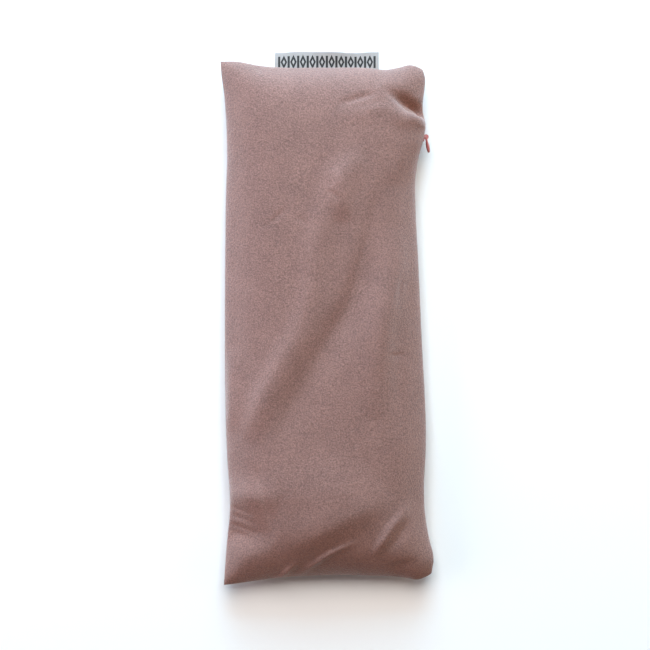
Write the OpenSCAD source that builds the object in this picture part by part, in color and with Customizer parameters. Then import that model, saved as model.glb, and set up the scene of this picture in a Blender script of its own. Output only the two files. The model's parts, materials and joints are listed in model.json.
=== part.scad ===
// Eye pillow: a zipped velvet cover round a loose cotton insert that is filled with flaxseed and lavender.
// X runs across the pillow, Y along it and Z up. The origin is under its middle, on the surface that it lies on.
// Every sewn skin is one formula, drawn in by its own insets, so the layers nest and never cut each other.

/* [Cover] */
// Length of the cover from corner to corner
cover_length = 250; // [220:1:270]
// Width of the cover from corner to corner
cover_width = 100; // [92:1:110]
// Height of the filled pillow at its crown
cover_height = 26; // [24:0.5:30]
// Height of the seam above the surface
seam_height = 10; // [9:0.5:11]
// How far each long side draws in between its corners
side_draw = 3.5; // [2:0.5:4]
// How far each end draws in between its corners
end_draw = 2.5; // [1:0.5:4]
// Thickness of the velvet with its pile
velvet_thickness = 1.2; // [1:0.1:1.4]

/* [Zip] */
// Length of the zip between its stops
zip_length = 180; // [120:1:190]
// Radius of each coil
coil_radius = 0.9; // [0.7:0.05:0.95]
// Distance from one turn of a coil to the next
coil_pitch = 1.5; // [1.2:0.1:2.4]
// Thickness of each tape
tape_thickness = 0.4; // [0.3:0.05:0.5]
// Height that each tape climbs inside the cover
tape_rise = 8; // [5:0.5:8.5]
// Angle of the hanging pull, out from the seam
pull_tilt = 13; // [12:1:40]

/* [Label] */
// Width of the woven label
label_width = 50; // [20:1:60]
// How far the label stands out of the seam
label_reach = 6; // [5:0.5:14]
// Thickness of the label's ribbon
ribbon_thickness = 0.3; // [0.2:0.05:0.35]

/* [Insert] */
// Thickness of the cotton of the inner bag
cotton_thickness = 0.4; // [0.3:0.05:0.6]
// Number of lavender buds in the filling
bud_count = 48; // [12:6:72]

/* [Hidden] */
$fn = 48;

VELVET = [0.62, 0.51, 0.49];
CORAL = [0.80, 0.45, 0.44];
RIBBON = [0.80, 0.81, 0.83];
COTTON = [0.90, 0.87, 0.80];
THREAD = [0.70, 0.60, 0.58];
FLAX = [0.48, 0.30, 0.16];
LAVENDER = [0.42, 0.38, 0.58];

FRONT = 1;
BACK = -1;

// Shape of the filled pillow: the powers of its cross-section, its length and its outline, and how deep
// its underside would hang if the surface did not press it flat.
SECTION_POWER = 2.6;
LENGTH_POWER = 6;
SIDE_POWER = 8;
END_POWER = 4;
hang = 13.5;

// Insets of each skin from the outside of the cover: left side, right side, ends, faces.
// The rim counts twice, because the seam allowance is folded back on it. The zip takes room on the right.
RIM_TWICE = [2, 2, 2, 1];
play = [0.6, 0.6, 0.6, 0.5];
tape_gap = 0.3;
zip_room = 3.8;
outside = [0, 0, 0, 0];
cover_inside = outside + velvet_thickness * RIM_TWICE;
rim_depth = 2 * velvet_thickness + 0.5;
insert_outside = cover_inside + play + [0, zip_room, 0, 0];
insert_inside = insert_outside + cotton_thickness * RIM_TWICE;
filling_outside = insert_inside + [0.4, 0.4, 0.4, 0.4];

// How finely each skin is divided, across and along.
COVER_CELLS = [24, 36];
INSERT_CELLS = [18, 28];
TAPE_CELLS = [6, 24];

// Places along the zip, and across it from the cover's side inwards.
side_face = cover_width / 2 - side_draw;
slot_half = 0.5;
zip_gap_end = 7;
zip_top = zip_length / 2 + 1;
zip_bottom = -zip_length / 2 + 1;
stop_length = 1.8;
tape_end = 8;
coil_x = side_face - 2 * velvet_thickness - tape_gap - tape_thickness - coil_radius;
coil_z = slot_half + coil_radius;
cord_radius = 0.4;
coil_turns = floor((zip_top - zip_bottom) / coil_pitch);

// Slider: the plate behind the coils, the walls beside them, the neck through the seam and the rail outside it.
slider_length = 9;
slider_y = zip_top - slider_length / 2 - 0.3;
slider_chamfer = 1;
plate_thickness = 0.9;
plate_x = coil_x - coil_radius - 0.25 - plate_thickness;
plate_taper = 0.3;
wall_in = coil_z + coil_radius + 0.2;
wall_out = wall_in + 0.5;
wall_height = 0.6;
neck_half = 0.3;
neck_length = 3;
rail_x = side_face + 0.7;
rail_thickness = 0.6;
rail_length = 4.4;
rail_radius = 0.9;
bar_radius = 0.55;
running_gap = 0.05;
eye_radius = 1.25;
eye_half = 0.45;
pivot_x = rail_x + rail_thickness + 0.85;
pivot_y = slider_y + 2.7;

// Pull: a drop-shaped tab that hangs from its bar.
pull_thickness = 1.1;
pull_length = 8.6;
pull_radius = 2.1;
arm_in = eye_half + 0.3;
arm_out = 1.5;
arm_length = eye_radius + 0.35;

// Label: a ribbon folded in two, which turns about its sewn edge.
end_face = cover_length / 2 - end_draw;
label_slot_half = 0.5;
ply_gap = 0.2;
label_half = ribbon_thickness + ply_gap / 2;
label_pivot_y = end_face + 0.8;
label_margin = 2.5;

stitch_radius = 0.2;
stitch_share = 0.8;

// ---- Skins ----

function half_width(v) = cover_width / 2 - side_draw * (1 - pow(abs(v), SIDE_POWER));
function half_length(u) = cover_length / 2 - end_draw * (1 - pow(abs(u), END_POWER));

// From 0 at the seam to 1 over the middle of the pillow.
function bulge(u, v) =
    sqrt(max(0, (1 - pow(abs(u), SECTION_POWER)) * (1 - pow(abs(v), LENGTH_POWER))));

// A point of a skin, where u runs from -1 to 1 across the pillow and v along it.
function skin_point(u, v, skin, face) =
    let (
        side_inset = u < 0 ? skin[0] : skin[1],
        x = u * (half_width(v) - side_inset),
        y = v * (half_length(u) - skin[2]),
        crown = (cover_height - seam_height - skin[3]) * bulge(u, v),
        belly = (hang - skin[3]) * bulge(u, v)
    )
    [x, y, face == FRONT ? seam_height + crown : max(skin[3], seam_height - belly)];

// From -1 to 1 in n steps, which are shorter towards the ends, where the skin curves most.
function spread(i, n) = sin(180 * i / n - 90);

function skin_grid(skin, face, cells) = [
    for (j = [0:cells[1]], i = [0:cells[0]])
        skin_point(spread(i, cells[0]), spread(j, cells[1]), skin, face)
];

// Where u meets a given height above or below the seam, half-way along the pillow.
function u_at(rise, face) =
    pow(1 - pow(rise / (face == FRONT ? cover_height - seam_height : hang), 2), 1 / SECTION_POWER);

function moved(points, offset) = [for (p = points) p + offset];

// The points of a grid, with those on the rim beside the zip and the label moved off the plane of the seam.
function opened(points, face) = [
    for (p = points)
        let (
            by_zip = p[0] > side_face - rim_depth && abs(p[1]) < zip_length / 2 + zip_gap_end,
            by_label = p[1] > end_face - rim_depth && abs(p[0]) < label_width / 2 + 0.5,
            gap = p[2] != seam_height ? 0 : by_zip ? slot_half : by_label ? label_slot_half : 0
        )
        p + [0, 0, face * gap]
];

// The solid between two grids of points with the same cells, the first one on top.
module between(top, bottom, cells) {
    row = cells[0] + 1;
    total = row * (cells[1] + 1);
    quads = concat(
        [for (j = [0:cells[1] - 1])
            let (a = j * row + cells[0]) [a, a + row, total + a + row, total + a]],
        [for (j = [0:cells[1] - 1])
            let (a = j * row) [a + row, a, total + a, total + a + row]],
        [for (i = [0:cells[0] - 1])
            let (a = cells[1] * row + i) [a + 1, a, total + a, total + a + 1]],
        [for (i = [0:cells[0] - 1]) [i, i + 1, total + i + 1, total + i]],
        [for (j = [0:cells[1] - 1], i = [0:cells[0] - 1])
            let (a = total + j * row + i) [a, a + 1, a + row + 1, a + row]],
        [for (j = [0:cells[1] - 1], i = [0:cells[0] - 1])
            let (a = j * row + i) [a, a + row, a + row + 1, a + 1]]
    );
    polyhedron(
        concat(top, bottom),
        [for (q = quads) each [[q[0], q[1], q[2]], [q[0], q[2], q[3]]]]
    );
}

// The solid between the two sides of a panel, each a grid of points.
module panel(outer, inner, face, cells) {
    if (face == FRONT)
        between(outer, inner, cells);
    else
        between(inner, outer, cells);
}

// ---- Cover ----

module cover_panel(face) {
    color(VELVET)
        panel(
            opened(skin_grid(outside, face, COVER_CELLS), face),
            opened(skin_grid(cover_inside, face, COVER_CELLS), face),
            face, COVER_CELLS
        );
}

// ---- Thread ----

module rod(from, to, radius) {
    d = to - from;
    translate(from)
        rotate([0, acos(d[2] / norm(d)), atan2(d[1], d[0])])
            cylinder(r = radius, h = norm(d));
}

// One stitch from each point of a row towards the next.
module stitches(points) {
    for (i = [0:len(points) - 2])
        rod(points[i], points[i] + stitch_share * (points[i + 1] - points[i]), stitch_radius);
}

// A row of stitches in the plane of the seam, along one side or one end of a skin.
function side_row(skin, side, v_from, v_to, n) = [
    for (i = [0:n]) skin_point(side, v_from + (v_to - v_from) * i / n, skin, FRONT)
];
function end_row(skin, end, u_from, u_to, n) = [
    for (i = [0:n]) skin_point(u_from + (u_to - u_from) * i / n, end, skin, FRONT)
];

module cover_seam_thread() {
    mid_rim = cover_inside / 2;
    zip_v = (zip_length / 2 + zip_gap_end + 5) / (cover_length / 2);
    color(THREAD) {
        stitches(side_row(mid_rim, -1, -0.97, 0.97, 76));
        stitches(side_row(mid_rim, 1, -0.97, -zip_v, 6));
        stitches(side_row(mid_rim, 1, zip_v, 0.97, 6));
        for (end = [-1, 1])
            stitches(end_row(mid_rim, end, -0.95, 0.95, 29));
    }
}

module insert_seam_thread() {
    mid_rim = (insert_outside + insert_inside) / 2;
    color(COTTON) {
        for (side = [-1, 1])
            stitches(side_row(mid_rim, side, -0.97, 0.97, 76));
        stitches(end_row(mid_rim, 1, -0.95, 0.95, 27));
        stitches(end_row(mid_rim, -1, -0.95, -0.4, 8));
        stitches(end_row(mid_rim, -1, 0.4, 0.95, 8));
    }
}

// Whipped by hand over the edge, where the filling went in.
module insert_closing_stitches() {
    over = 0.9;
    color(COTTON)
        for (p = end_row((insert_outside + insert_inside) / 2, -1, -0.37, 0.37, 14))
            rod(p + [-0.5, 0, -over], p + [0.5, 0, over], stitch_radius);
}

// ---- Label ----

module across(width) {
    translate([-width / 2, 0, 0]) rotate([90, 0, 90]) linear_extrude(width) children();
}

module label_sewn_end() {
    color(RIBBON)
        translate([0, end_face - label_margin, seam_height])
            across(label_width)
                for (ply = [-1, 1])
                    translate([0, ply > 0 ? ply_gap / 2 : -label_half])
                        square([label_margin, ribbon_thickness]);
}

module label_flap() {
    fold_y = label_reach - label_half;
    color(RIBBON)
        translate([0, label_pivot_y, seam_height])
            across(label_width) {
                circle(r = label_half);
                difference() {
                    union() {
                        translate([0, -label_half]) square([fold_y, 2 * label_half]);
                        translate([fold_y, 0]) circle(r = label_half);
                    }
                    translate([label_half, -ply_gap / 2]) square([fold_y - label_half, ply_gap]);
                    translate([fold_y, 0]) circle(r = ply_gap / 2);
                }
            }
}

// ---- Zip ----

module zip_tape(face) {
    outer = cover_inside + tape_gap * [1, 1, 1, 1];
    inner = outer + tape_thickness * [1, 1, 1, 1];
    span = face == FRONT ? cover_height - seam_height : hang;
    low = asin((slot_half + 0.2) / span);
    high = asin(tape_rise / span);
    v_end = (zip_length / 2 + tape_end) / (cover_length / 2);
    function strip(skin) = [
        for (j = [0:TAPE_CELLS[1]], i = [0:TAPE_CELLS[0]])
            let (
                angle = high + (low - high) * i / TAPE_CELLS[0],
                v = v_end * (2 * j / TAPE_CELLS[1] - 1)
            )
            skin_point(u_at(span * sin(angle), face), v, skin, face)
    ];
    color(CORAL)
        if (face == FRONT)
            between(strip(outer), strip(inner), TAPE_CELLS);
        else
            between(strip(inner), strip(outer), TAPE_CELLS);
}

// A coil, with the cord that it is wound on.
module zip_coil(face) {
    color(CORAL)
        translate([coil_x, zip_bottom, seam_height + face * coil_z])
            rotate([-90, 0, 0]) {
                cylinder(r = cord_radius, h = coil_turns * coil_pitch);
                for (i = [0:coil_turns - 1])
                    translate([0, 0, (i + 0.2) * coil_pitch])
                        cylinder(r = coil_radius, h = 0.6 * coil_pitch);
            }
}

module zip_top_stops() {
    color(CORAL)
        for (face = [FRONT, BACK])
            translate([coil_x, zip_bottom + coil_turns * coil_pitch + 0.1, seam_height + face * coil_z])
                rotate([-90, 0, 0]) cylinder(r = coil_radius + 0.1, h = stop_length);
}

module zip_bottom_stop() {
    reach = coil_z + coil_radius;
    color(CORAL)
        translate([coil_x, zip_bottom - 0.1 - stop_length, seam_height])
            rotate([-90, 0, 0]) linear_extrude(stop_length) {
                square([2 * coil_radius, 2 * coil_z], center = true);
                for (face = [FRONT, BACK])
                    translate([0, face * coil_z]) circle(r = coil_radius + 0.1);
            }
}

// Stitches that hold a tape to the cover's seam allowance.
module zip_thread(face) {
    skin = cover_inside + tape_gap / 2 * [1, 1, 1, 1];
    rise = 4.5;
    v_end = (zip_length / 2 + 4) / (cover_length / 2);
    n = 62;
    color(CORAL)
        stitches([
            for (i = [0:n]) skin_point(u_at(rise, face), v_end * (2 * i / n - 1), skin, face)
        ]);
}

// Draws a shape in the plane of Y and Z, and gives it a thickness along X.
module plate_at(x, thickness) {
    translate([x, 0, 0]) rotate([90, 0, 90]) linear_extrude(thickness) children();
}

// The outline of the slider from behind: square at the end that leads, and narrower at the other.
function slider_outline(half, wide) = [
    [-half, -wide + plate_taper + slider_chamfer], [-half, wide - plate_taper - slider_chamfer],
    [slider_chamfer - half, wide - plate_taper], [0, wide],
    [half - slider_chamfer, wide], [half, wide - slider_chamfer],
    [half, slider_chamfer - wide], [half - slider_chamfer, -wide],
    [0, -wide], [slider_chamfer - half, plate_taper - wide]
];

module zip_slider() {
    half = slider_length / 2;
    neck_start = plate_x + plate_thickness / 2;
    color(CORAL)
        translate([0, slider_y, seam_height]) {
            plate_at(plate_x, plate_thickness)
                polygon(slider_outline(half, wall_out));
            plate_at(plate_x + plate_thickness, wall_height)
                difference() {
                    polygon(slider_outline(half, wall_out));
                    square([slider_length + 1, 2 * wall_in], center = true);
                }
        }
    color(CORAL)
        translate([0, pivot_y, seam_height]) {
            translate([neck_start, -neck_length / 2, -neck_half])
                cube([rail_x + rail_thickness / 2 - neck_start, neck_length, 2 * neck_half]);
            plate_at(rail_x, rail_thickness) {
                square([rail_length - 2 * rail_radius, 2 * rail_radius], center = true);
                for (end = [-1, 1])
                    translate([end * (rail_length / 2 - rail_radius), 0]) circle(r = rail_radius);
            }
            translate([pivot_x, 0, 0])
                difference() {
                    cylinder(r = eye_radius, h = 2 * eye_half, center = true);
                    cylinder(r = bar_radius + running_gap, h = 4 * eye_half, center = true);
                }
        }
}

module zip_pull() {
    waist = arm_out;
    color(CORAL)
        translate([pivot_x, pivot_y, seam_height])
            rotate([0, 0, pull_tilt]) {
                cylinder(r = bar_radius, h = 2 * arm_out, center = true);
                plate_at(-pull_thickness / 2, pull_thickness) {
                    for (face = [FRONT, BACK])
                        translate([-arm_length, face > 0 ? arm_in : -arm_out])
                            square([arm_length, arm_out - arm_in]);
                    polygon([
                        [-arm_length, -waist], [-arm_length, waist],
                        [pull_radius - pull_length, pull_radius], [pull_radius - pull_length, -pull_radius]
                    ]);
                    translate([pull_radius - pull_length, 0]) circle(r = pull_radius);
                }
            }
}

// ---- Insert ----

module insert_panel(face) {
    color(COTTON)
        panel(
            skin_grid(insert_outside, face, INSERT_CELLS),
            skin_grid(insert_inside, face, INSERT_CELLS),
            face, INSERT_CELLS
        );
}

module flaxseed_filling() {
    rim = [0, 0, 0.2];
    color(FLAX)
        between(
            moved(skin_grid(filling_outside, FRONT, INSERT_CELLS), rim),
            moved(skin_grid(filling_outside, BACK, INSERT_CELLS), -rim),
            INSERT_CELLS
        );
}

// Buds lie through the filling on a sunflower spiral, at heights that take turns.
module lavender_buds() {
    golden_angle = 137.508;
    color(LAVENDER)
        for (i = [0:bud_count - 1]) {
            r = sqrt((i + 0.5) / bud_count);
            a = i * golden_angle;
            translate([0.62 * side_face * r * cos(a), 0.8 * end_face * r * sin(a), 6 + 3 * (i % 4)])
                rotate([90, 0, 2 * a])
                    cylinder(r1 = 0.9, r2 = 0.5, h = 4, center = true);
        }
}

cover_panel(FRONT);  // cover_front_panel
cover_panel(BACK);  // cover_back_panel
cover_seam_thread();
label_sewn_end();
label_flap();
zip_tape(FRONT);  // zip_tape_front
zip_tape(BACK);  // zip_tape_back
zip_coil(FRONT);  // zip_coil_front
zip_coil(BACK);  // zip_coil_back
zip_top_stops();
zip_bottom_stop();
zip_thread(FRONT);  // zip_thread_front
zip_thread(BACK);  // zip_thread_back
zip_slider();
zip_pull();
insert_panel(FRONT);  // insert_front_panel
insert_panel(BACK);  // insert_back_panel
insert_seam_thread();
insert_closing_stitches();
flaxseed_filling();
lavender_buds();
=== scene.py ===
"""Looks of the eye pillow: a velvet cover round a cotton bag of flaxseed, with a zip and a ribbon label.

Every soft piece is drawn from one form: two grids of points, the upper and the lower side of the filled
cover, which a cloth simulation blows up from the flat cut. Places on it are u, from -1 at the left side to 1
at the zip, and v, from -1 at the near end to 1 at the label. Lengths are in metres.
"""

import json
import math

import bpy
import numpy as np
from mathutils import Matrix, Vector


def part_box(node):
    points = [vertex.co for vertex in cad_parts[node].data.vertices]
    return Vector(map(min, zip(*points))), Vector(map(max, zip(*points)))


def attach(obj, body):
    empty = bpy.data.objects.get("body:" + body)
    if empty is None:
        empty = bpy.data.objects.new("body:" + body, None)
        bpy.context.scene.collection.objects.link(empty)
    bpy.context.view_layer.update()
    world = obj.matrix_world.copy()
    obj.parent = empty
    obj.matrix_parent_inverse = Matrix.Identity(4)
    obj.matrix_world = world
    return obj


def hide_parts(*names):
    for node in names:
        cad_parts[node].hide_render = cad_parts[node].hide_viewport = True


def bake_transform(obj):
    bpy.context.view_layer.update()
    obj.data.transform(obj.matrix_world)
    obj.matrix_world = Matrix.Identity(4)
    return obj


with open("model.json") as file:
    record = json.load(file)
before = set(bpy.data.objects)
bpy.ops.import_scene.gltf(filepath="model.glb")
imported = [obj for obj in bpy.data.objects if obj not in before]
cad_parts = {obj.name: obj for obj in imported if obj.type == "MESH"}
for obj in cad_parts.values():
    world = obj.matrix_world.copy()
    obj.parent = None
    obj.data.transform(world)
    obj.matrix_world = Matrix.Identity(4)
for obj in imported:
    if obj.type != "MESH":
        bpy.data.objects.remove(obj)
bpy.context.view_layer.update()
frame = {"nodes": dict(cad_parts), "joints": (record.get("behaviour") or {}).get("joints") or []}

MM = 0.001
FRONT, BACK = 1, -1
SIDES = ((FRONT, "front"), (BACK, "back"))

# ---- Sizes, from the frame ----

HALF_WIDTH, HALF_LENGTH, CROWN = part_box("cover_front_panel")[1]
flap_low, flap_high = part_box("label_flap")
SEAM = (flap_low.z + flap_high.z) / 2
HALF_CUT = np.array([HALF_WIDTH, HALF_LENGTH])

coil_low, coil_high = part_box("zip_coil_front")
COIL_RADIUS = (coil_high.x - coil_low.x) / 2
COIL_RISE = (coil_low.z + coil_high.z) / 2 - SEAM

joints = {joint["name"]: joint for joint in frame["joints"]}
ZIP_FAR_END = joints["pull_swing"]["pos_m"][1] - joints["zip_slide"]["range_m"][1]
# Half the length of the opening that the zip closes.
ZIP_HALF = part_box("zip_top_stops")[1].y + 3 * MM

# Thicknesses of the fabrics, and how far inside the seam the lining of the velvet and the zip's coils lie.
VELVET = 1.4 * MM
COTTON = 0.4 * MM
TAPE = 0.4 * MM
RIM = 2.0 * MM
COIL_INSET = 3.5 * MM

# ---- The form of the filled cover ----

CELLS_ACROSS, CELLS_ALONG = 48, 120

# The seam seen from above: at each place along it, how far out it lies, as a share of the flat cut.
LEFT_SEAM = [
    (-1.0, 0.972), (-0.86, 0.948), (-0.69, 0.913), (-0.53, 0.940), (-0.30, 0.960), (0.0, 0.965),
    (0.25, 0.962), (0.48, 0.955), (0.65, 0.943), (0.78, 0.952), (0.88, 0.972), (0.96, 0.998), (1.0, 1.005),
]
RIGHT_SEAM = [
    (-1.0, 1.020), (-0.95, 1.045), (-0.86, 1.000), (-0.76, 0.962), (-0.67, 0.952), (-0.50, 0.972),
    (-0.32, 0.965), (-0.15, 0.942), (0.0, 0.924), (0.25, 0.897), (0.45, 0.872), (0.57, 0.870),
    (0.66, 0.904), (0.73, 0.950), (0.80, 0.963), (0.825, 0.943), (0.87, 0.940), (0.93, 0.958),
    (0.97, 0.962), (1.0, 0.930),
]
TOP_SEAM = [
    (-1.0, 1.000), (-0.85, 1.000), (-0.65, 0.985), (-0.45, 0.977), (0.0, 0.976), (0.45, 0.974),
    (0.60, 0.968), (0.75, 0.976), (0.90, 0.986), (1.0, 0.965),
]
BOTTOM_SEAM = [
    (-1.0, 1.015), (-0.75, 1.002), (-0.45, 0.986), (-0.15, 0.978), (0.15, 0.975), (0.45, 0.978),
    (0.75, 0.985), (0.90, 0.992), (1.0, 0.965),
]

# Folds in the front: how wide each is on its left and on its right, then the line it follows, as u, v and
# its height there. Widths and heights are in millimetres.
FOLDS = [
    # the deep pinch by the zip's end, the crisp ridge along its lower side, and the tension line it runs into
    (2.0, 3.4, [(1.0, 0.822, -2.0), (0.955, 0.822, -4.1), (0.87, 0.831, -3.9), (0.765, 0.862, -2.5),
                (0.655, 0.896, -1.2), (0.565, 0.922, 0)]),
    (5.0, 2.6, [(1.0, 0.796, 0.6), (0.915, 0.787, 1.3), (0.81, 0.791, 1.1), (0.71, 0.813, 1.0),
                (0.605, 0.836, 0.7), (0.355, 0.813, 0.5), (0.05, 0.793, 0)]),
    (2.2, 1.0, [(0.11, 0.836, 0), (0.275, 0.858, -0.7), (0.415, 0.876, -0.7), (0.525, 0.893, 0)]),
    # long soft waves across the middle, where the seed has settled
    (8, 6, [(0.45, 0.63, 0), (0.24, 0.59, 1.5), (0.05, 0.46, 1.4), (-0.10, 0.28, 1.5), (-0.15, 0.11, 1.8),
            (-0.26, -0.044, 2.0), (-0.46, -0.182, 2.1), (-0.665, -0.336, 1.8), (-0.82, -0.458, 0)]),
    (5, 6, [(0.05, 0.62, 0), (0.16, 0.53, 0.8), (0.20, 0.45, 0.9), (0.20, 0.38, 0)]),
    (9, 6, [(0.72, 0.58, 0), (0.55, 0.43, -1.0), (0.42, 0.24, -1.8), (0.265, 0.06, -2.4),
            (0.08, -0.06, -2.0), (-0.12, -0.198, -1.3), (-0.315, -0.338, -1.1), (-0.48, -0.476, 0)]),
    (7, 9, [(0.80, 0.36, 0), (0.77, 0.236, 1.2), (0.64, 0.064, 2.6), (0.56, -0.076, 2.5),
            (0.51, -0.247, 1.2), (0.495, -0.384, 0)]),
    (4, 5, [(0.80, 0.05, 0), (0.78, -0.15, -0.6), (0.76, -0.3, -0.7), (0.74, -0.45, 0)]),
    (9, 7, [(0.90, 0.76, 0), (0.88, 0.70, 0.9), (0.84, 0.62, 0.9), (0.80, 0.52, 0)]),
    (5, 3, [(-0.97, -0.10, 0), (-0.94, -0.20, 1.3), (-0.94, -0.33, 1.4), (-0.97, -0.42, 0)]),
    (10, 14, [(0.38, -0.59, 0), (0.1, -0.63, 1.2), (-0.2, -0.65, 1.4), (-0.45, -0.645, 1.1),
              (-0.7, -0.62, 0)]),
    # the slope down to the near end, with two sharp creases in it
    (8, 17, [(0.62, -0.64, 0), (0.50, -0.68, 0.9), (0.36, -0.725, 2.0), (0.15, -0.77, 2.8),
             (-0.05, -0.81, 2.7), (-0.28, -0.85, 1.8), (-0.50, -0.89, 0)]),
    (1.0, 1.3, [(-0.50, -1.0, 0.6), (-0.39, -0.978, 1.3), (-0.31, -0.951, 0.8), (-0.23, -0.935, 0)]),
    (0.8, 1.6, [(-0.26, -0.988, 0.3), (-0.095, -0.942, 1.1), (0.065, -0.90, 1.0), (0.19, -0.876, 0.6),
                (0.32, -0.853, 0)]),
    # streaks that fan out above the near right corner
    (2.4, 1.8, [(0.86, -0.69, 0), (0.75, -0.755, 1.0), (0.65, -0.80, 1.3), (0.56, -0.85, 1.2),
                (0.49, -0.89, 0.7), (0.43, -0.925, 0)]),
    (2.2, 2.2, [(0.86, -0.76, 0), (0.78, -0.80, -0.6), (0.69, -0.85, -0.7), (0.60, -0.90, 0)]),
    (2.0, 2.0, [(0.60, -0.97, 0), (0.67, -0.955, -0.6), (0.74, -0.944, -0.6), (0.86, -0.92, 0)]),
    # gathers at the near left: a soft swell, a hollow below it and short pleats down from the seam
    (6, 7, [(-1.0, -0.65, 1.0), (-0.8, -0.66, 2.2), (-0.6, -0.675, 1.2), (-0.45, -0.69, 0)]),
    (7, 5, [(-0.965, -0.80, -2.3), (-0.77, -0.82, -2.6), (-0.5, -0.85, 0)]),
    *[
        (1.1, 1.4, [(-0.99, v, -0.5), (-0.9, v - 0.012, -0.8), (-0.8, v - 0.03, -0.5), (end, v - 0.05, 0)])
        for v, end in ((-0.70, -0.75), (-0.73, -0.70), (-0.768, -0.66), (-0.795, -0.73))
    ],
    (1.5, 1.5, [(-0.825, -0.518, 0), (-0.70, -0.587, -0.4), (-0.62, -0.673, -0.5),
                (-0.525, -0.782, -0.4), (-0.425, -0.882, 0)]),
    # small wrinkles, and a dimple at the label's end
    (1.0, 1.0, [(0.0, 0.50, 0), (0.06, 0.50, -0.3), (0.11, 0.485, -0.35), (0.145, 0.453, 0)]),
    (1.5, 1.5, [(-0.36, 0.453, 0), (-0.49, 0.402, -0.35), (-0.62, 0.353, 0)]),
    (1.2, 1.2, [(-0.32, 0.40, 0), (-0.225, 0.389, -0.3), (-0.155, 0.342, 0)]),
    (1.5, 1.5, [(0.835, 0.193, 0), (0.79, 0.127, -0.4), (0.75, 0.064, 0)]),
    (1.0, 1.2, [(0.615, -0.131, 0), (0.76, -0.131, -0.35), (0.905, -0.133, 0)]),
    (1.3, 1.3, [(-0.68, 0.998, -0.3), (-0.645, 0.982, -0.8), (-0.605, 0.964, 0)]),
]


def smooth_curve(points, t):
    """A smooth curve through (place, value) points."""
    places, values = (np.array(column, float) for column in zip(*points))
    slopes = np.gradient(values, places)
    i = np.clip(np.searchsorted(places, t) - 1, 0, len(places) - 2)
    step = places[i + 1] - places[i]
    s = np.clip((t - places[i]) / step, 0, 1)
    return (
        (2 * s**3 - 3 * s**2 + 1) * values[i] + (s**3 - 2 * s**2 + s) * step * slopes[i]
        + (3 * s**2 - 2 * s**3) * values[i + 1] + (s**3 - s**2) * step * slopes[i + 1]
    )


def spline_weights(count, places):
    """How much each of count points in a row adds to a smooth curve along them, at places from -1 to 1."""
    weights = np.zeros((len(places), count))
    for row, place in zip(weights, (np.asarray(places) + 1) / 2 * (count - 1)):
        k = min(int(place), count - 2)
        t = place - k
        shares = ((1 - t) ** 3, 3 * t**3 - 6 * t**2 + 4, -3 * t**3 + 3 * t**2 + 3 * t + 1, t**3)
        for i, share in zip(range(k - 1, k + 3), shares):
            if 0 <= i < count:
                row[i] += share / 6
            else:
                end, inside = (0, 1) if i < 0 else (-1, -2)
                row[end] += share / 3
                row[inside] -= share / 6
    return weights


def start_form():
    """Both sides of the cover before it is blown up, with the seam already where it ends up."""
    u, v = np.meshgrid(
        np.linspace(-1, 1, CELLS_ACROSS + 1), np.linspace(-1, 1, CELLS_ALONG + 1), indexing="ij"
    )
    left, right = smooth_curve(LEFT_SEAM, v), smooth_curve(RIGHT_SEAM, v)
    top, bottom = smooth_curve(TOP_SEAM, u), smooth_curve(BOTTOM_SEAM, u)
    x = HALF_WIDTH * u * (left + (right - left) * (u + 1) / 2)
    y = HALF_LENGTH * v * (bottom + (top - bottom) * (v + 1) / 2)
    fullness = 0.8
    rise = np.sqrt(np.clip((1 - np.abs(u) ** 2.2) * (1 - np.abs(v) ** 5), 0, 1))
    upper = np.stack([x, y, SEAM + fullness * (CROWN - SEAM) * rise], axis=-1)
    lower = np.stack([x, y, SEAM * (1 - fullness * rise)], axis=-1)
    cut = np.stack([HALF_WIDTH * u, HALF_LENGTH * v, np.full_like(u, SEAM)], axis=-1)
    return upper, lower, cut


def cells(number):
    """The faces of a grid of point numbers, facing up."""
    corners = [number[:-1, :-1], number[1:, :-1], number[1:, 1:], number[:-1, 1:]]
    return np.stack(corners, axis=-1).reshape(-1, 4)


def numbers(grid, first=0):
    """The point numbers of a grid."""
    return first + np.arange(grid.shape[0] * grid.shape[1]).reshape(grid.shape[:2])


def make_object(name, points, faces):
    mesh = bpy.data.meshes.new(name)
    mesh.from_pydata(np.asarray(points).tolist(), [], [list(face) for face in faces])
    mesh.update()
    mesh.shade_smooth()
    mesh.set_sharp_from_angle(angle=math.radians(50))
    thing = bpy.data.objects.new(name, mesh)
    bpy.context.scene.collection.objects.link(thing)
    return thing


def square(name, half):
    """A level square at the height of the surface that the pillow lies on."""
    corners = [(-half, -half, 0), (half, -half, 0), (half, half, 0), (-half, half, 0)]
    return make_object(name, corners, [(0, 1, 2, 3)])


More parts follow.
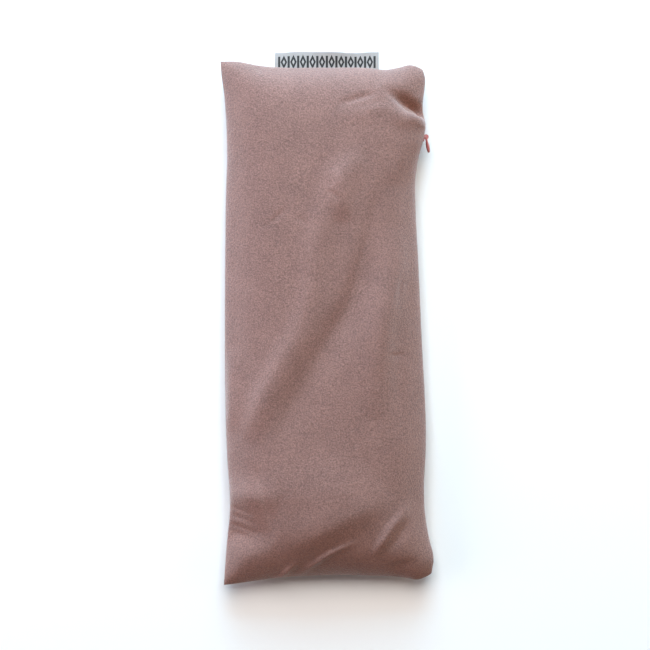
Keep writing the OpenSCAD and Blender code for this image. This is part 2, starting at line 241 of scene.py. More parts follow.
def blow_up(upper, lower, cut):
    """Blows both sides up between the fixed seam and the surface below.

    It works at ten times the real size, because the solver is steadier there.
    """
    size = 10
    last_frame = 36
    number = numbers(upper)
    inner = number[1:-1, 1:-1]
    lower_number = number.copy()
    lower_number[1:-1, 1:-1] = numbers(inner, number.size)
    faces = np.concatenate([cells(number), cells(lower_number)[:, ::-1]])

    def all_points(above, below):
        return np.concatenate([above.reshape(-1, 3), below[1:-1, 1:-1].reshape(-1, 3)]) * size

    cloth = make_object("cloth", all_points(upper, lower), faces)
    cloth.shape_key_add(name="start")
    flat = cloth.shape_key_add(name="cut")
    flat.data.foreach_set("co", all_points(cut, cut).ravel())
    seam = cloth.vertex_groups.new(name="seam")
    seam.add(np.setdiff1d(number, inner).tolist(), 1.0, "REPLACE")

    ground = square("ground", 3)
    ground.modifiers.new("ground", "COLLISION")
    ground.collision.thickness_outer = 0.01

    modifier = cloth.modifiers.new("cloth", "CLOTH")
    settings = modifier.settings
    settings.quality = 8
    settings.mass = 0.3
    settings.air_damping = 4
    settings.tension_stiffness = settings.compression_stiffness = 25
    settings.shear_stiffness = 12
    settings.bending_stiffness = 1.2
    settings.tension_damping = settings.compression_damping = settings.shear_damping = 12
    settings.vertex_group_mass = "seam"
    settings.rest_shape_key = flat
    settings.use_pressure = True
    settings.uniform_pressure_force = 6
    settings.effector_weights.gravity = 0
    modifier.collision_settings.distance_min = 0.01
    modifier.point_cache.frame_end = last_frame

    for step in range(1, last_frame + 1):
        bpy.context.scene.frame_set(step)
    settled = np.zeros(len(cloth.data.vertices) * 3)
    cloth.evaluated_get(bpy.context.evaluated_depsgraph_get()).data.vertices.foreach_get("co", settled)
    settled = settled.reshape(-1, 3) / size
    bpy.context.scene.frame_set(1)
    for thing in (cloth, ground):
        bpy.data.objects.remove(thing)
    return settled[number], settled[lower_number]


def settled_heights(grid):
    """The form with its seed settled: flatter on top, steep at the label's end and long at the near end."""
    along = grid.shape[1]
    from_label = np.linspace(1, 0, along)
    heights = grid[..., 2] @ spline_weights(along, 1 - 2 * from_label**0.9).T - SEAM
    top = np.abs(heights).max()
    return np.sign(heights) * top * (1 - (1 - np.abs(heights) / top) ** 1.8)


def filled_form():
    upper, lower, cut = start_form()
    upper, lower = blow_up(upper, lower, cut)
    for grid, full in ((upper, CROWN - SEAM), (lower, SEAM)):
        heights = settled_heights(grid)
        grid[..., 2] = SEAM + heights / np.abs(heights).max() * full
    return {FRONT: upper, BACK: lower}


form = filled_form()

# ---- Skins drawn from the form ----


def sample(face, us, vs):
    """Points of one side of the form."""
    grid = form[face]
    across, along = spline_weights(grid.shape[0], us), spline_weights(grid.shape[1], vs)
    return np.einsum("ai,bj,ijk->abk", across, along, grid, optimize=True)


def normals(grid):
    across, along = np.gradient(grid, axis=0), np.gradient(grid, axis=1)
    normal = np.cross(across, along)
    return normal / np.linalg.norm(normal, axis=-1, keepdims=True)


def fold_height(us, vs):
    """How far the folds lift the front, in metres."""
    u, v = np.meshgrid(us, vs, indexing="ij")
    place = np.stack([u, v], axis=-1) * HALF_CUT / MM
    total = np.zeros(u.shape)
    for left_width, right_width, line in FOLDS:
        t = np.linspace(0, len(line) - 1, 24)
        path = np.stack([smooth_curve(list(enumerate(column)), t) for column in zip(*line)], axis=-1)
        corners, heights = path[:, :2] * HALF_CUT / MM, path[:, 2]
        nearest = np.full(u.shape, np.inf)
        height = np.zeros(u.shape)
        for start, end, low, high in zip(corners, corners[1:], heights, heights[1:]):
            along = end - start
            share = np.clip((place - start) @ along / (along @ along), 0, 1)
            away = place - start - share[..., None] * along
            distance = np.linalg.norm(away, axis=-1)
            on_left = along[0] * away[..., 1] - along[1] * away[..., 0] > 0
            width = np.where(on_left, left_width, right_width)
            closer = distance < nearest
            nearest = np.where(closer, distance, nearest)
            bulge = (low + share * (high - low)) * np.exp(-((distance / width) ** 2))
            height = np.where(closer, bulge, height)
        total += height
    return total * MM


def to_rim(us, vs):
    """How far each place is from the nearest side and from the nearest end, in metres."""
    return np.meshgrid(HALF_WIDTH * (1 - np.abs(us)), HALF_LENGTH * (1 - np.abs(vs)), indexing="ij")


def seam_gap(points):
    """Half the gap between the panels: wider by the label and the zip, and most at the zip's far end."""
    x, y = points[..., 0], points[..., 1]
    label_half = flap_high.x + 1.5 * MM
    by_label = np.clip((label_half - np.abs(x)) / (2 * MM), 0, 1) * (y > 0.9 * HALF_LENGTH)
    by_zip = np.clip((ZIP_HALF - np.abs(y)) / (2 * MM), 0, 1) * (x > 0.7 * HALF_WIDTH)
    by_far_end = np.exp(-(((y - ZIP_FAR_END) / (6 * MM)) ** 2)) * (x > 0)
    plain, wider, widest = 0.12, 0.38, 1.1
    return (plain + wider * np.maximum(by_label, by_zip) + widest * by_far_end) * MM


def outer_skin(face, us, vs):
    """The outside of the cover, which rolls outwards over the seam."""
    points = sample(face, us, vs)
    side, end = to_rim(us, vs)
    near, edge = np.minimum(side, end), 1.5 * MM
    if face == FRONT:
        hold = 1 - np.exp(-((near / edge) ** 2))
        points += normals(points) * (fold_height(us, vs) * hold)[..., None]
    roll_size, roll_reach = 0.9 * MM, 1.3 * MM
    for axis, away, place in ((0, side, us[:, None]), (1, end, vs[None, :])):
        t = away / roll_reach
        points[..., axis] += np.sign(place) * roll_size * t * np.exp(1 - t)
    points[..., 2] += face * seam_gap(points) * np.exp(-near / edge)
    return points


def inner_skin(face, us, vs, insets, gap):
    """A skin inside the cover: insets in from the seam at its left, right and ends, and gap from the face."""
    left, right, ends = insets
    inner_us = -1 + left / HALF_WIDTH + (us + 1) / 2 * (2 - (left + right) / HALF_WIDTH)
    inner_vs = vs * (1 - ends / HALF_LENGTH)
    points = sample(face, inner_us, inner_vs)
    if face == FRONT:
        points[..., 2] += fold_height(inner_us, inner_vs) * 0.9
    other = sample(-face, inner_us, inner_vs)
    side, end = to_rim(us, vs)
    t = np.clip(np.minimum(side, end) / (3 * MM), 0, 1)
    rise = np.sqrt(1 - (1 - t) ** 2)
    points[..., :2] += (other - points)[..., :2] / 2 * (1 - rise)[..., None]
    height = np.clip(face * (points[..., 2] - SEAM) - gap, 0, None) * rise
    points[..., 2] = SEAM + face * height
    return points


def spread(half, inner_cell, *rim_spans):
    """Places from -1 to 1 across twice half, with (distance from the rim, size of cell) spans by the rim."""
    places = [0.0]
    for until, cell in (*rim_spans, (half, inner_cell)):
        count = round((until - places[-1]) / cell)
        places += list(np.linspace(places[-1], until, count + 1)[1:])
    side = 1 - np.array(places) / half
    return np.concatenate([-side, side[-2::-1]])


# The cells of the velvet are finer near the seam.
COVER_US = spread(HALF_WIDTH, 0.85 * MM, (2 * MM, 0.35 * MM), (5 * MM, 0.6 * MM))
COVER_VS = spread(HALF_LENGTH, 0.95 * MM, (2 * MM, 0.35 * MM), (5 * MM, 0.6 * MM))
BAG_US = np.linspace(-1, 1, 61)
BAG_VS = np.linspace(-1, 1, 141)


def border(number):
    """Point numbers round the rim of a grid, anticlockwise from above."""
    return np.concatenate([number[:-1, 0], number[-1, :-1], number[:0:-1, -1], number[0, :0:-1]])


def slab(name, top, bottom):
    """A closed sheet between two grids of points."""
    top_number, bottom_number = numbers(top), numbers(bottom, top.shape[0] * top.shape[1])
    above, below = border(top_number), border(bottom_number)
    sides = np.stack([below, np.roll(below, -1), np.roll(above, -1), above], axis=-1)
    points = np.concatenate([top.reshape(-1, 3), bottom.reshape(-1, 3)])
    faces = np.concatenate([cells(top_number), cells(bottom_number)[:, ::-1], sides])
    return make_object(name, points, faces)


def skin_sheet(name, face, outer, inner):
    """A closed sheet between an outer and an inner skin of one side."""
    return slab(name, outer, inner) if face == FRONT else slab(name, inner, outer)


def tube_parts(path, half_sizes, aside, sides=8):
    """Points and faces of a closed tube: half sizes along aside and across it, at each point of the path."""
    path = np.asarray(path, float)
    half_sizes = np.broadcast_to(half_sizes, (len(path), 2))
    along = np.gradient(path, axis=0)
    along /= np.linalg.norm(along, axis=-1, keepdims=True)
    first = aside - along * (along * aside).sum(-1, keepdims=True)
    first /= np.linalg.norm(first, axis=-1, keepdims=True)
    second = np.cross(along, first)
    turn = 2 * math.pi * np.arange(sides) / sides
    ring = (
        path[:, None]
        + np.cos(turn)[:, None] * first[:, None] * half_sizes[:, None, :1]
        + np.sin(turn)[:, None] * second[:, None] * half_sizes[:, None, 1:]
    )
    number = numbers(ring)
    ahead = np.roll(number, -1, axis=1)
    walls = np.stack([number[:-1], ahead[:-1], ahead[1:], number[1:]], axis=-1).reshape(-1, 4).tolist()
    caps = [number[0, ::-1].tolist(), number[-1].tolist()]
    return ring.reshape(-1, 3), walls + caps


def round_rod(path, radii, aside=(0, 0, 1)):
    """Points and faces of a closed round tube, with its own radius at each point of the path."""
    return tube_parts(path, np.stack([radii, radii], axis=-1), aside)


def joined(name, parts):
    """One object from several (points, faces) parts."""
    points, faces = [], []
    for part_points, part_faces in parts:
        faces += [[len(points) + i for i in face] for face in part_faces]
        points += list(part_points)
    return make_object(name, points, faces)


def stitches(name, line, pitch, share, radius, arch=(0, 0, 0)):
    """A row of stitches along a line: short threads that fill that share of the pitch, bowed by arch."""
    lengths = np.concatenate([[0], np.cumsum(np.linalg.norm(np.diff(line, axis=0), axis=-1))])
    count = int(lengths[-1] / pitch)
    profile = np.linspace(-0.5, 0.5, 7)
    radii = radius * np.sqrt(np.clip(1.02 - (2 * profile) ** 4, 0.05, 1))
    parts = []
    for k in range(count):
        at = (k + 0.5 + profile * share) * lengths[-1] / count
        path = np.stack([np.interp(at, lengths, line[:, axis]) for axis in range(3)], axis=-1)
        path += (1 - (2 * profile) ** 2)[:, None] * np.asarray(arch)
        parts.append(round_rod(path, radii, (0.01, 0.02, 1)))
    return joined(name, parts)


def piece(thing, body, material, slot, *nodes):
    """Gives a finished piece its material, and puts it on its body in place of its CAD nodes. The slot is not
    used.
    """
    thing.data.materials.append(material)
    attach(thing, body)
    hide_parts(*nodes)


# ---- Materials ----


class Shader:
    """A procedural material: a Principled shader, with a few ways to add texture to it."""

    def __init__(self, name, color, roughness, **values):
        self.material = bpy.data.materials.new(name)
        self.material.use_nodes = True
        self.tree = self.material.node_tree
        self.shader = self.tree.nodes["Principled BSDF"]
        self.set("Base Color", (*color, 1))
        self.set("Roughness", roughness)
        for key, value in values.items():
            self.set(key.replace("_", " ").title(), value)
        self.place = self.tree.nodes.new("ShaderNodeTexCoord").outputs["Object"]

    def set(self, socket, value):
        self.shader.inputs[socket].default_value = value

    def node(self, kind, inputs=(), **settings):
        made = self.tree.nodes.new("ShaderNode" + kind)
        for key, value in settings.items():
            setattr(made, key, value)
        for key, value in dict(inputs).items():
            if isinstance(value, bpy.types.NodeSocket):
                self.tree.links.new(value, made.inputs[key])
            else:
                made.inputs[key].default_value = value
        return made

    def stretched(self, scale, turn=(0, 0, 0)):
        inputs = {"Vector": self.place, "Scale": scale, "Rotation": turn}
        return self.node("Mapping", inputs).outputs["Vector"]

    def noise(self, size, detail=2, place=None, roughness=0.5):
        """Noise whose features are about that size, in metres."""
        return self.node(
            "TexNoise",
            {"Vector": place or self.place, "Scale": 1 / size, "Detail": detail, "Roughness": roughness},
        ).outputs["Fac"]

    def ramp(self, value, *stops):
        made = self.node("ValToRGB", {"Fac": value})
        elements = made.color_ramp.elements
        while len(elements) < len(stops):
            elements.new(0.5)
        for element, (at, color) in zip(elements, stops):
            element.position = at
            element.color = (*color, 1)
        return made.outputs["Color"]

    def math(self, operation, a, b=0.0):
        return self.node("Math", {0: a, 1: b}, operation=operation).outputs["Value"]

    def average(self, a, b, share):
        """That share of a, and the rest of b."""
        return self.math("ADD", self.math("MULTIPLY", a, share), self.math("MULTIPLY", b, 1 - share))

    def mix(self, a, b, factor=1.0, blend_type="MIX"):
        inputs = {"Factor": factor, "A": a, "B": b}
        return self.node("Mix", inputs, data_type="RGBA", blend_type=blend_type).outputs["Result"]

    def color(self, color):
        self.tree.links.new(color, self.shader.inputs["Base Color"])

    def bump(self, *layers):
        """Bump from (height, depth in metres, strength) layers."""
        normal = None
        for height, depth, strength in layers:
            inputs = {"Height": height, "Distance": depth, "Strength": strength}
            if normal is not None:
                inputs["Normal"] = normal
            normal = self.node("Bump", inputs).outputs["Normal"]
        self.tree.links.new(normal, self.shader.inputs["Normal"])


def shade(color, by):
    return tuple(c * by for c in color)


def velvet_material():
    """Short pile with a whitish sheen; where it faces the near end, away from the lamps, its colour is
    painted darker and redder as shade.
    """
    rose = (0.255, 0.141, 0.121)
    made = Shader("velvet", rose, 0.55, sheen_weight=0.65, sheen_roughness=0.5)
    made.set("Specular IOR Level", 0.1)
    made.set("Sheen Tint", (1, 0.87, 0.85, 1))
    patches = made.noise(14 * MM, 3)
    grain = made.noise(0.65 * MM, 3, roughness=0.6)
    mottled = made.ramp(
        made.average(patches, grain, 0.15), (0.3, shade(rose, 0.5)), (0.5, rose), (0.7, shade(rose, 1.5))
    )
    # Painted shade: slopes whose normal faces the near end, away from the lamps, get a darker, redder base
    # colour.
    facing = made.node("SeparateXYZ", {0: made.node("NewGeometry").outputs["Normal"]}).outputs["Y"]
    painted_shade_near_end = made.ramp(made.math("ADD", facing, 1), (0.35, (0.82, 0.55, 0.42)), (0.95, (1, 1, 1)))
    made.color(made.mix(mottled, painted_shade_near_end, blend_type="MULTIPLY"))
    pile = made.noise(0.8 * MM, 1, made.stretched((1, 0.35, 1)))
    made.bump((grain, 0.4 * MM, 0.8), (pile, 0.3 * MM, 0.6))
    return made.material


def thread_material(name, color):
    made = Shader(name, color, 0.7, sheen_weight=0.3)
    twist = made.noise(0.25 * MM, 2, made.stretched((1, 0.4, 1), (0.5, 0.3, 0.7)))
    made.color(made.ramp(twist, (0.3, shade(color, 0.7)), (0.7, shade(color, 1.15))))
    made.bump((twist, 0.1 * MM, 0.6))
    return made.material


def woven_material(name, color, thread, roughness=0.85):
    """Plain weave: crossing rows of threads of that width."""
    made = Shader(name, color, roughness, sheen_weight=0.2)
    made.set("Specular IOR Level", 0.25)
    waves = [
        made.node(
            "TexWave",
            {"Vector": made.place, "Scale": 0.05 / thread, "Distortion": 0.6, "Detail": 1.0},
            bands_direction=direction,
        ).outputs["Fac"]
        for direction in ("X", "Y", "Z")
    ]
    weave = made.math("MULTIPLY", made.math("ADD", waves[0], waves[2]), waves[1])
    slubs = made.noise(6 * MM, 3)
    uneven = made.average(weave, slubs, 0.25)
    made.color(made.ramp(uneven, (0.2, shade(color, 0.75)), (0.8, shade(color, 1.1))))
    made.bump((weave, 0.15 * MM, 0.6))
    return made.material


def speckled_material(name, color, roughness, size, depth, **values):
    """A hard finish with fine mottling."""
    made = Shader(name, color, roughness, **values)
    mottle = made.noise(size, 3)
    made.color(made.ramp(mottle, (0.3, shade(color, 0.8)), (0.7, shade(color, 1.15))))
    made.bump((mottle, depth, 0.4))
    return made.material


def flaxseed_material():
    """Small flat seeds, each a slightly different brown."""
    made = Shader("flaxseed", (0.25, 0.11, 0.04), 0.35)
    seeds = made.node("TexVoronoi", {"Vector": made.stretched((1, 0.6, 1)), "Scale": 1 / (2.4 * MM)})
    tint = made.node("SeparateColor", {0: seeds.outputs["Color"]}).outputs[0]
    browns = ((0.1, (0.16, 0.06, 0.02)), (0.6, (0.28, 0.12, 0.04)), (0.95, (0.42, 0.24, 0.09)))
    made.color(made.ramp(tint, *browns))
    made.bump((made.math("SUBTRACT", 1.0, seeds.outputs["Distance"]), 0.8 * MM, 0.9))
    return made.material


velvet = velvet_material()
cover_thread = thread_material("cover_thread", (0.42, 0.27, 0.25))
zip_thread = thread_material("zip_thread", (0.62, 0.25, 0.24))
insert_thread = thread_material("insert_thread", (0.80, 0.76, 0.68))
zip_tape = woven_material("zip_tape", (0.60, 0.22, 0.21), 0.4 * MM)
insert_cotton = woven_material("insert_cotton", (0.76, 0.70, 0.58), 0.5 * MM)
zip_coil = speckled_material("zip_coil", (0.62, 0.24, 0.22), 0.35, 1.5 * MM, 0.03 * MM)
zip_metal = speckled_material("zip_metal", (0.46, 0.125, 0.12), 0.3, 0.8 * MM, 0.02 * MM, coat_weight=0.5)
lavender = speckled_material("lavender", (0.20, 0.15, 0.34), 0.8, 0.6 * MM, 0.2 * MM)

# ---- Cover ----

for face, side in SIDES:
    outer = outer_skin(face, COVER_US, COVER_VS)
    inner = inner_skin(face, COVER_US, COVER_VS, (RIM, RIM, RIM), VELVET)
    panel = skin_sheet(f"velvet_{side}", face, outer, inner)
    piece(panel, "cover", velvet, "velvet", f"cover_{side}_panel")

# ---- Seam and zip of the cover ----


def along_rim(face, inset, us, vs):
    """The line round the cover at that distance inside its seam."""
    points = inner_skin(face, us, vs, (inset, inset, inset), 0)
    loop = border(numbers(points))
    return points.reshape(-1, 3)[loop]


def one_stretch(loop, kept):
    """The stretch of a closed line that is kept, from its start to its end."""
    start = int(np.flatnonzero(kept & ~np.roll(kept, 1))[0])
    return np.roll(loop, -start, axis=0)[: int(kept.sum())]


rim_line = along_rim(FRONT, 0.9 * MM, COVER_US, COVER_VS)
sewn = (rim_line[:, 0] < 0.7 * HALF_WIDTH) | (np.abs(rim_line[:, 1]) > ZIP_HALF)
seam_stitches = stitches("seam_stitches", one_stretch(rim_line, sewn), 3 * MM, 0.75, 0.22 * MM)
piece(seam_stitches, "cover", cover_thread, "cover_thread", "cover_seam_thread")

TAPE_WIDTH = 10 * MM
TAPE_LENGTH = 2 * (ZIP_HALF - 1 * MM)
TAPE_INSET = 2.3 * MM
tape_us = 1 - np.linspace(TAPE_WIDTH, 0, 15) / HALF_WIDTH
tape_vs = np.linspace(-1, 1, 121) * TAPE_LENGTH / 2 / HALF_LENGTH


def tape_skin(face, depth):
    """A face of the tape on that side, that deep below the one that lies on the velvet."""
    gap = VELVET + 0.3 * MM + depth
    points = inner_skin(face, tape_us, tape_vs, (RIM, TAPE_INSET + depth, RIM), gap)
    height = np.maximum(face * (points[..., 2] - SEAM), 0.6 * MM)
    points[..., 2] = SEAM + face * height
    return points


seam_right = sample(FRONT, np.array([1.0]), COVER_VS)[0]


def zip_point(y, inset, rise):
    """A point on the zip, that far inside the seam and that far above its middle."""
    x = np.interp(y, seam_right[:, 1], seam_right[:, 0]) - inset
    return np.stack([x, y, np.full_like(y, SEAM + rise)], axis=-1)


for face, side in SIDES:
    outer, inner = tape_skin(face, 0), tape_skin(face, TAPE)
    tape = skin_sheet(f"tape_{side}", face, outer, inner)
    piece(tape, "cover", zip_tape, "zip_tape", f"zip_tape_{side}")

    thread = stitches(f"tape_stitches_{side}", outer[6], 2.9 * MM, 0.7, 0.15 * MM)
    piece(thread, "cover", zip_thread, "zip_thread", f"zip_thread_{side}")

    coil_pitch, steps = 1.5 * MM, 12
    turns = int((coil_high.y - coil_low.y) / coil_pitch)
    y = coil_low.y + np.arange(turns * steps + 1) / steps * coil_pitch
    core = zip_point(y, COIL_INSET, face * COIL_RISE)
    angle = 2 * math.pi * np.arange(len(y)) / steps
    outwards = np.stack([np.cos(angle), np.zeros_like(angle), face * np.sin(angle)], axis=-1)
    wire = 0.27 * MM
    coil = joined(
        f"coil_{side}",
        [
            tube_parts(core + outwards * (COIL_RADIUS - wire), (wire, wire), outwards, 6),
            tube_parts(core[::steps], (0.3 * MM, 0.3 * MM), (1, 0, 0), 8),
        ],
    )
    piece(coil, "cover", zip_coil, "zip_coil", f"zip_coil_{side}")

for name in ("zip_slider", "zip_top_stops", "zip_bottom_stop"):
    part = frame["nodes"][name]
    part.data.materials.clear()
    part.data.materials.append(zip_metal)
    part.data.shade_smooth()
    bevel = part.modifiers.new("rounded edges", "BEVEL")
    bevel.width = 0.12 * MM
    bevel.segments = 3
    bevel.angle_limit = math.radians(40)
    bevel.harden_normals = True

# ---- Pull ----

pivot = np.array(joints["pull_swing"]["pos_m"])
pull_low, pull_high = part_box("zip_pull")
tail = np.array([pull_high.x - 1.2 * MM, pull_low.y, SEAM])
PULL_LENGTH = np.linalg.norm(tail - pivot)
HALF_PULL = (pull_high.z - pull_low.z) / 2
down = (tail - pivot) / PULL_LENGTH
out = np.array([-down[1], down[0], 0])


def pull_point(distance, sideways):
    """A point of the pull, which curves away from the velvet towards its tail."""
    curve = 0.4 * MM * (distance / PULL_LENGTH) ** 2
    return pivot + distance * down + curve * out + np.array([0, 0, sideways])


crossbar_half = HALF_PULL - 0.1 * MM
tongue_from, tongue_to = 2.3 * MM, PULL_LENGTH - 0.9 * MM
along_tongue = np.linspace(0, 1, 17)
round_end = np.sqrt(np.clip(1 - ((along_tongue - 0.8) / 0.2).clip(0, 1) ** 2, 0.02, 1))
round_start = np.sqrt(np.clip(1 - ((0.12 - along_tongue) / 0.12).clip(0, 1) ** 2, 0.1, 1))
tongue_widths = (2.0 - 0.8 * along_tongue) * round_end * round_start * MM
tongue_depths = (0.6 + 0.25 * np.sin(math.pi * along_tongue)) * np.sqrt(round_end) * MM
tongue_path = [pull_point(tongue_from + t * (tongue_to - tongue_from), 0) for t in along_tongue]
arm_steps = np.linspace(0, 1, 7)
arms = [
    tube_parts(
        [pull_point(t * 3 * MM, side * (crossbar_half - 0.4 * MM)) for t in arm_steps],
        (0.42 * MM, 0.42 * MM),
        (0, 0, 1),
        12,
    )
    for side in (-1, 1)
]
crossbar = [pivot + np.array([0, 0, z]) for z in np.linspace(-crossbar_half, crossbar_half, 5)]
pull = joined(
    "pull",
    [
        tube_parts(crossbar, (0.5 * MM, 0.5 * MM), out, 16),
        tube_parts(tongue_path, np.stack([tongue_widths, tongue_depths], axis=-1), (0, 0, 1), 24),
        *arms,
    ],
)
piece(pull, "pull", zip_metal, "zip_metal", "zip_pull")

# ---- Label ----

sewn_low, sewn_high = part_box("label_sewn_end")
HALF_LABEL = flap_high.x
# The label was sewn in a little right of the middle.
LABEL_SHIFT = 0.9 * MM
ribbon_half = 0.15 * MM
fold_radius = (flap_high.z - flap_low.z) / 2 - ribbon_half
layer = np.linspace(sewn_low.y, flap_high.y + 0.5 * MM - fold_radius - ribbon_half, 22)
turn = np.linspace(math.pi / 2, -math.pi / 2, 9)[1:-1]


def ribbon_line(radius):
    """The ribbon seen from its side, as y and z: out from the seam, round the fold and back."""
    y = np.concatenate([layer, layer[-1] + radius * np.cos(turn), layer[::-1]])
    z = np.concatenate([np.full(len(layer), radius), radius * np.sin(turn), np.full(len(layer), -radius)])
    return y, SEAM + z


def ribbon_face(radius):
    """One face of the folded ribbon, with the soft waves that it has where it stands out of the seam."""
    x = np.linspace(-HALF_LABEL, HALF_LABEL, 101) + LABEL_SHIFT
    y, z = ribbon_line(radius)
    x, y = np.meshgrid(x, y, indexing="ij")
    free = np.clip((y - sewn_high.y) / (flap_high.y - sewn_high.y), 0, 1)
    share = x / HALF_LABEL
    wave = 0.55 * np.sin(3.1 * share + 0.9) + 0.2 * np.sin(7.3 * share + 0.4)
    edge = 0.28 * np.sin(3.7 * share + 2.6) + 0.12 * np.sin(9.1 * share)
    return np.stack([x, y + edge * free * MM, z + wave * free**1.5 * MM], axis=-1)


label = slab("label", ribbon_face(fold_radius + ribbon_half), ribbon_face(fold_radius - ribbon_half))
woven_y, woven_z = ribbon_line(fold_radius)
woven = np.concatenate([[0], np.cumsum(np.hypot(np.diff(woven_y), np.diff(woven_z)))])
label_grid = np.stack(
    np.meshgrid(np.linspace(-HALF_LABEL, HALF_LABEL, 101), woven, indexing="ij"), axis=-1
).reshape(-1, 2) / MM
weave_map = label.data.uv_layers.new(name="weave")
for loop in label.data.loops:
    weave_map.data[loop.index].uv = label_grid[loop.vertex_index % len(label_grid)]


def ribbon_material():
    """Silver satin ribbon with a row of lozenges and bars woven into it. Its map is in millimetres."""
    silver, charcoal = (0.38, 0.355, 0.35), (0.012, 0.011, 0.012)
    made = Shader("label_ribbon", silver, 0.5, sheen_weight=0.2)
    made.set("Specular IOR Level", 0.35)
    weave_map = made.node("UVMap", uv_map="weave").outputs["UV"]
    across, along = (made.node("SeparateXYZ", {0: weave_map}).outputs[axis] for axis in ("X", "Y"))
    repeat, motif_middle, motif_half = 4.6, 4.9, 3.2
    phase = made.math("FRACT", made.math("DIVIDE", across, repeat))
    cell = made.math("ABSOLUTE", made.math("SUBTRACT", phase, 0.5))
    from_middle = made.math("ABSOLUTE", made.math("SUBTRACT", along, motif_middle))
    height = made.math("DIVIDE", from_middle, motif_half)
    lozenge = made.math("ADD", made.math("MULTIPLY", cell, 3.0), height)
    ring = made.math("COMPARE", lozenge, 0.72)
    ring.node.inputs[2].default_value = 0.32
    beside, short = made.math("GREATER_THAN", cell, 0.38), made.math("LESS_THAN", height, 0.9)
    bar = made.math("MULTIPLY", beside, short)
    margin = made.math("LESS_THAN", made.math("ABSOLUTE", across), HALF_LABEL / MM - 1.5)
    motif = made.math("MULTIPLY", made.math("MAXIMUM", ring, bar), margin)
    rows = made.node(
        "TexWave", {"Vector": weave_map, "Scale": 0.9, "Distortion": 0.4}, bands_direction="Y"
    ).outputs["Fac"]
    shine = made.noise(4 * MM, 2)
    satin = made.average(rows, shine, 0.3)
    ground = made.ramp(satin, (0.2, shade(silver, 0.8)), (0.8, shade(silver, 1.15)))
    made.color(made.mix(ground, (*charcoal, 1), motif))
    made.bump((rows, 0.1 * MM, 0.4))
    return made.material


ribbon = ribbon_material()
label.data.materials.append(ribbon)
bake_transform(label)
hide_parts("label_sewn_end", "label_flap")

# ---- Insert ----

BAG_INSETS = np.array([4.4, 7.6, 4.4]) * MM
BAG_GAP = 3.0 * MM


def puckered(points):
    """Small gathers along the bag's seam."""
    side, end = to_rim(BAG_US, BAG_VS)
    near = np.exp(-np.minimum(side, end) / (5 * MM))
    gathers = np.sin(points[..., 0] / (1.1 * MM)) + np.sin(points[..., 1] / (1.3 * MM) + 1)
    points[..., 2] += 0.15 * MM * gathers * near * (1 - near) * 2 * np.sign(points[..., 2] - SEAM)
    return points


def bag_skin(face, depth):
    """A skin of the bag, that deep below its outside."""
    return puckered(inner_skin(face, BAG_US, BAG_VS, BAG_INSETS + 2 * depth, BAG_GAP + depth))


for face, side in SIDES:
    outer, inner = bag_skin(face, 0), bag_skin(face, COTTON)
    for grid in (outer, inner):
        grid[..., 2] += face * 0.08 * MM
    panel = skin_sheet(f"bag_{side}", face, outer, inner)
    piece(panel, "cover", insert_cotton, "insert_cotton", f"insert_{side}_panel")

bag_rim = bag_skin(FRONT, COTTON / 2)
bag_line = bag_rim.reshape(-1, 3)[border(numbers(bag_rim))]
at_near_end = bag_line[:, 1] < bag_line[:, 1].min() + 6 * MM
closing = at_near_end & (np.abs(bag_line[:, 0]) < 0.37 * HALF_WIDTH)
bag_stitches = stitches("bag_stitches", one_stretch(bag_line, ~closing), 2.6 * MM, 0.7, 0.2 * MM)
piece(bag_stitches, "cover", insert_thread, "insert_thread", "insert_seam_thread")
outwards = (0, -0.6 * MM, 0.2 * MM)
closing_stitches = stitches("closing_stitches", bag_line[closing], 2.6 * MM, 1.1, 0.25 * MM, outwards)
piece(closing_stitches, "cover", insert_thread, "insert_thread", "insert_closing_stitches")

seed_top = bag_skin(FRONT, COTTON + 0.3 * MM)
seed_bottom = bag_skin(BACK, COTTON + 0.3 * MM)
seed_top[..., 2] += 0.1 * MM
seed_bottom[..., 2] -= 0.1 * MM
filling = slab("flaxseed", seed_top, seed_bottom)
piece(filling, "cover", flaxseed_material(), "flaxseed", "flaxseed_filling")

BUD_COUNT = 48
BUD_LENGTH = 4 * MM
GOLDEN_ANGLE = math.pi * (3 - math.sqrt(5))
bud_steps = np.linspace(0.02, 0.98, 7)
bud_radii = 0.95 * MM * np.sqrt(np.sin(math.pi * bud_steps**0.8))
buds = []
for k in range(BUD_COUNT):
    reach, around = math.sqrt((k + 0.5) / BUD_COUNT), k * GOLDEN_ANGLE
    i = round((1 + 0.75 * reach * math.cos(around)) / 2 * (len(BAG_US) - 1))
    j = round((1 + 0.85 * reach * math.sin(around)) / 2 * (len(BAG_VS) - 1))
    middle = seed_bottom[i, j] + (k % 4 + 1) / 5 * (seed_top[i, j] - seed_bottom[i, j])
    heading = np.array([math.cos(2 * around), math.sin(2 * around), 0])
    path = middle + (bud_steps[:, None] - 0.5) * BUD_LENGTH * heading
    buds.append(round_rod(path, bud_radii))
piece(joined("lavender", buds), "cover", lavender, "lavender", "lavender_buds")

# ---- Floor, light and camera ----

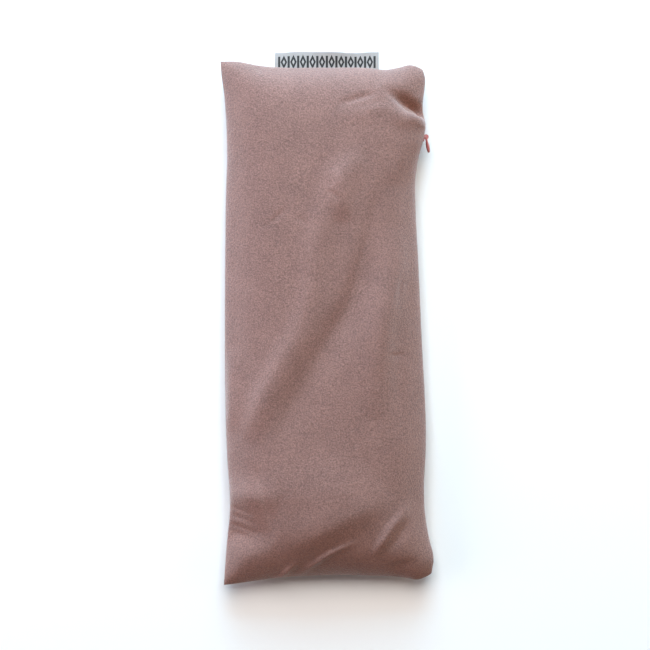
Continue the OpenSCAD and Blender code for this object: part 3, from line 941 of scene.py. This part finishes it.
floor = square("floor", 20)
paper = Shader("floor", (0.97, 0.97, 0.97), 0.9, emission_color=(1, 1, 1, 1))
paper.bump((paper.noise(3 * MM), 0.05 * MM, 0.1))
# The floor glows faintly where the lights no longer reach it, so that low views see it pale too.
away = paper.node("VectorMath", {0: paper.place}, operation="LENGTH").outputs["Value"]
glow = paper.ramp(paper.math("DIVIDE", away, 4), (0.15, (0, 0, 0)), (0.6, (0.8, 0.8, 0.8)))
paper.tree.links.new(glow, paper.shader.inputs["Emission Strength"])
floor.data.materials.append(paper.material)

scene = bpy.context.scene
scene.view_settings.view_transform = "Standard"
scene.world = bpy.data.worlds.new("studio")
scene.world.use_nodes = True
sky = scene.world.node_tree.nodes["Background"]
sky.inputs["Strength"].default_value = 0.02

LIGHT_DISTANCE = 1.3


def soft_light(name, azimuth, height, watts, color):
    """A square softbox aimed at the pillow, azimuth degrees clockwise from +Y and height degrees up."""
    lamp = bpy.data.lights.new(name, "AREA")
    lamp.size = 0.9
    lamp.energy = watts
    lamp.color = color
    thing = bpy.data.objects.new(name, lamp)
    around, up = math.radians(azimuth), math.radians(height)
    thing.location = (math.cos(up) * math.sin(around), math.cos(up) * math.cos(around), math.sin(up))
    thing.location *= LIGHT_DISTANCE
    thing.rotation_euler = (-thing.location).to_track_quat("-Z", "Y").to_euler()
    scene.collection.objects.link(thing)


soft_light("low_window", 0, 20, 33, (0.48, 0.78, 1.0))
soft_light("high_window", 0, 60, 14.5, (1.0, 0.96, 0.91))
soft_light("left_fill", -90, 20, 10, (0.97, 0.9, 1.0))
soft_light("right_fill", 90, 20, 4.1, (1.0, 0.65, 0.3))

CAMERA_HEIGHT = 0.9
VIEW_WIDTH = 0.3131
camera = bpy.data.objects.new("camera", bpy.data.cameras.new("camera"))
camera.data.lens = camera.data.sensor_width * (CAMERA_HEIGHT - SEAM) / VIEW_WIDTH
camera.location = (0, -1.7 * MM, CAMERA_HEIGHT)
scene.collection.objects.link(camera)
scene.camera = camera
